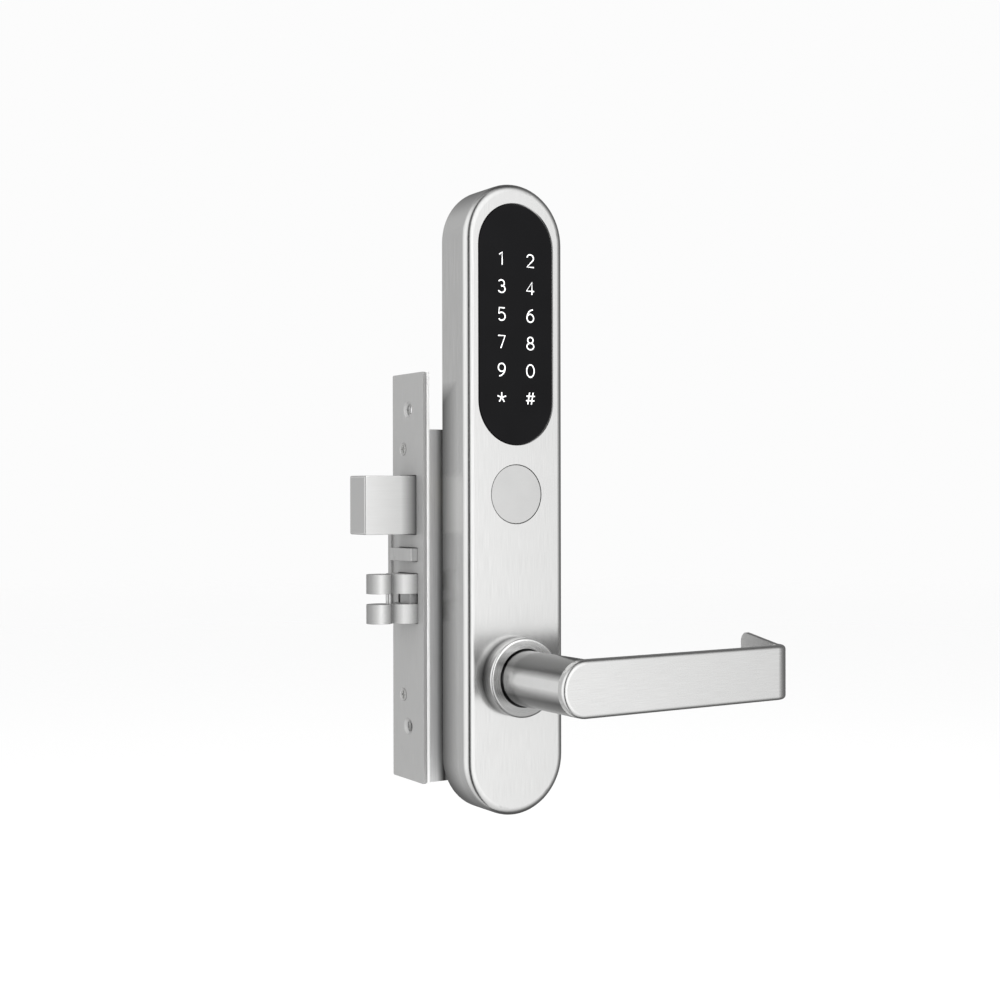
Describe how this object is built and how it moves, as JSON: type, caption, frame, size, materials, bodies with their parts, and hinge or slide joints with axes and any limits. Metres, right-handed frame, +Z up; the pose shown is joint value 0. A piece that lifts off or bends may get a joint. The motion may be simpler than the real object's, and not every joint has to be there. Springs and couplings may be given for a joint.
{
  "type": "keypad smart lock",
  "caption": "Slim pill-shaped door lock with a glass keypad, a return lever, a key cylinder under a round cap and its mortise lock with latch and deadbolt.",
  "frame": {"origin": "where the lever's axis meets the door's outer face", "axes": "+X along the lever, +Y into the door, +Z up"},
  "size_m": [0.1825, 0.1321, 0.304],
  "materials": {
    "cover_steel": "fine brushed stainless steel",
    "cap_steel": "matt brushed stainless steel",
    "lever_steel": "satin brushed stainless steel",
    "faceplate_steel": "satin stainless steel",
    "bolt_steel": "ground stainless steel",
    "case_steel": "zinc plated steel sheet",
    "zinc_steel": "zinc plated steel",
    "screw_steel": "stainless steel",
    "black_steel": "black oxide",
    "spring_steel": "bright spring wire",
    "cast_zinc": "cast zinc",
    "brass": "turned brass",
    "motor_can": "plain steel can",
    "keypad_glass": "black printed glass, smooth",
    "black_plastic": "moulded black plastic",
    "white_plastic": "natural nylon",
    "board": "green circuit board",
    "rubber": "black rubber"
  },
  "bodies": {
    "lock": {"escutcheon_cover": "cover_steel", "keypad_glass": "keypad_glass", "glass_seal": "rubber", "keypad_frame": "black_plastic", "light_guide": "white_plastic", "key_leds": "white_plastic", "touch_board": "board", "board_fasteners": "brass", "main_board": "board", "board_parts": "black_plastic", "base_plate": "zinc_steel", "base_gasket": "rubber", "base_screws": "screw_steel", "mounting_posts": "zinc_steel", "cable_grommet": "rubber", "rose_collar": "cover_steel", "lever_bush": "black_plastic", "stop_pins": "zinc_steel", "return_spring": "spring_steel", "cylinder_body": "brass", "cylinder_clip": "spring_steel", "faceplate": "faceplate_steel", "faceplate_screws": "screw_steel", "case_front": "faceplate_steel", "case_body": "case_steel", "case_cover": "case_steel", "case_pillars": "zinc_steel", "case_screws": "black_steel", "latch_spring": "spring_steel", "spring_rod": "zinc_steel", "aux_spring": "spring_steel", "aux_bracket": "case_steel", "clutch_motor": "motor_can"},
    "lever": {"lever_neck": "lever_steel", "lever_blade": "lever_steel", "lever_clip": "spring_steel", "lever_carrier": "zinc_steel", "carrier_screws": "screw_steel", "lever_set_screw": "black_steel", "lever_spindle": "zinc_steel", "clutch_hub": "cast_zinc"},
    "follower": {"follower": "cast_zinc"},
    "clutch_pin": {"clutch_pin": "screw_steel"},
    "clutch_slider": {"clutch_slider": "zinc_steel"},
    "motor_worm": {"motor_worm": "brass"},
    "key_drive": {"key_plug": "brass", "cylinder_tailpiece": "zinc_steel", "cam_outer": "cast_zinc", "cam_inner": "cast_zinc", "cam_pin": "screw_steel"},
    "cylinder_cap": {"cylinder_cap": "cap_steel"},
    "deadbolt": {"deadbolt": "bolt_steel", "deadbolt_tail": "zinc_steel", "tail_rivets": "bolt_steel"},
    "latch": {"latch_plate_upper": "bolt_steel", "latch_plate_lower": "bolt_steel", "latch_pin": "bolt_steel", "latch_block": "cast_zinc", "latch_tail": "cast_zinc"},
    "aux_latch": {"aux_latch": "bolt_steel"}
  },
  "joints": [
    {"name": "lever_turn", "type": "hinge", "parent": "lock", "child": "lever", "pos_m": [0, 0, 0], "axis": [0, 1, 0], "range_deg": [0, 45], "stiffness_Nm_per_rad": 1.2, "springref_deg": -20.05},
    {"name": "follower_turn", "type": "hinge", "parent": "lock", "child": "follower", "pos_m": [0, 0.03, 0], "axis": [0, 1, 0], "range_deg": [-0.5, 45.5]},
    {"name": "latch_slide", "type": "slide", "parent": "lock", "child": "latch", "axis": [1, 0, 0], "range_m": [-0.0001, 0.0226], "deforming": ["latch_spring"]},
    {"name": "aux_latch_slide", "type": "slide", "parent": "lock", "child": "aux_latch", "axis": [1, 0, 0], "range_m": [0, 0.0053], "stiffness_N_per_m": 300, "springref_m": -0.004, "deforming": ["aux_spring"]},
    {"name": "key_turn", "type": "hinge", "parent": "lock", "child": "key_drive", "pos_m": [0, 0, 0.0877], "axis": [0, 1, 0], "range_deg": [-0.5, 90.5]},
    {"name": "deadbolt_slide", "type": "slide", "parent": "lock", "child": "deadbolt", "axis": [1, 0, 0], "range_m": [0, 0.02828]},
    {"name": "cap_pull", "type": "slide", "parent": "lock", "child": "cylinder_cap", "axis": [0, -1, 0], "range_m": [0, 0.012]},
    {"name": "motor_turn", "type": "hinge", "parent": "lock", "child": "motor_worm", "pos_m": [0, 0.029, -0.03], "axis": [0, 0, 1], "range_deg": [-10, 910]},
    {"name": "clutch_slide", "type": "slide", "parent": "lock", "child": "clutch_slider", "axis": [0, 0, -1], "range_m": [0, 0.0025]},
    {"name": "clutch_pin_slide", "type": "slide", "parent": "follower", "child": "clutch_pin", "axis": [0, 0, -1], "range_m": [-0.0001, 0.0026]}
  ],
  "couplings": [
    {"joint": "follower_turn", "follows": "lever_turn", "ratio": 1},
    {"joint": "latch_slide", "follows": "lever_turn", "m_per_rad": 0.028648},
    {"joint": "key_turn", "follows": "deadbolt_slide", "rad_per_m": 55.536},
    {"joint": "motor_turn", "follows": "clutch_slide", "rad_per_m": 6283.2},
    {"joint": "clutch_pin_slide", "follows": "clutch_slide", "ratio": 1}
  ]
}
